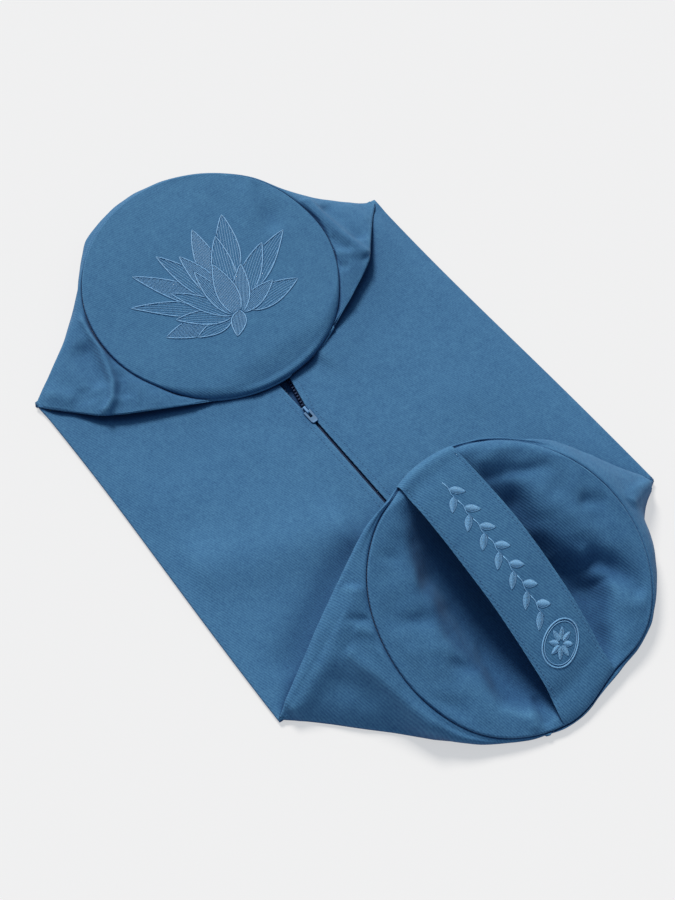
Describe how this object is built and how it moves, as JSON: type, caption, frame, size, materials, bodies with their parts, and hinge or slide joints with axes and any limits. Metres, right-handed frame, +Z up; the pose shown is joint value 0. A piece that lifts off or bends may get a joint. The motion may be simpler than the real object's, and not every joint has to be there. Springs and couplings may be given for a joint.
{
  "type": "bolster pillow cover",
  "caption": "Empty twill bolster cover laid flat, both round ends folded up over the barrel, with a centre zipper, a strap handle and a flower embroidery.",
  "frame": {"origin": "centre of the barrel's underside, on the plane the cover rests on", "axes": "+X along the barrel towards the handle end, +Y across the barrel, +Z up out of the folded ends"},
  "size_m": [0.5791, 0.353, 0.0758],
  "materials": {
    "barrel_twill": "heavy cotton twill, matt",
    "end_twill": "heavy cotton twill, matt",
    "strap_twill": "folded cotton twill, matt",
    "thread": "embroidery thread, soft sheen",
    "zipper_tape": "woven polyester tape",
    "zipper_teeth": "moulded teeth, satin",
    "zipper_metal": "enamelled slider, satin"
  },
  "bodies": {
    "barrel": {"barrel_cloth": "barrel_twill", "zipper_tape_left": "zipper_tape", "zipper_tape_right": "zipper_tape", "zipper_teeth_left": "zipper_teeth", "zipper_teeth_right": "zipper_teeth", "zipper_top_stops": "zipper_teeth", "zipper_bottom_stop": "zipper_teeth", "zipper_lockstitch": "thread"},
    "lotus_end": {"lotus_end_gusset": "end_twill", "lotus_end_panel": "end_twill", "lotus_end_seam_allowance": "end_twill", "lotus_embroidery_fill": "thread", "lotus_embroidery_outline": "thread"},
    "handle_end": {"handle_end_gusset": "end_twill", "handle_end_panel": "end_twill", "handle_end_seam_allowance": "end_twill", "handle_anchor_inner": "strap_twill", "handle_anchor_outer": "strap_twill"},
    "handle_grip": {"handle_strap": "strap_twill", "handle_edge_stitching": "thread", "handle_embroidery": "thread"},
    "slider": {"zipper_slider": "zipper_metal"},
    "pull": {"zipper_pull_tab": "zipper_metal"}
  },
  "joints": [
    {"name": "lotus_end_fold", "type": "hinge", "parent": "barrel", "child": "lotus_end", "pos_m": [-0.29, 0, 0.0012], "axis": [0, -1, 0], "range_deg": [0, 25]},
    {"name": "handle_end_fold", "type": "hinge", "parent": "barrel", "child": "handle_end", "pos_m": [0.291, 0, 0.0012], "axis": [0, 1, 0], "range_deg": [0, 18]},
    {"name": "handle_lift", "type": "slide", "parent": "handle_end", "child": "handle_grip", "axis": [0.3088, -0.0332, 0.9505], "range_m": [0, 0.025]},
    {"name": "slider_travel", "type": "slide", "parent": "barrel", "child": "slider", "axis": [1, 0, 0], "range_m": [-0.014, 0.165], "deforming": ["zipper_teeth_left", "zipper_teeth_right"]},
    {"name": "pull_flip", "type": "hinge", "parent": "slider", "child": "pull", "pos_m": [-0.0316, -0.0065, 0.00825], "axis": [0, -1, 0], "range_deg": [0, 170]}
  ]
}
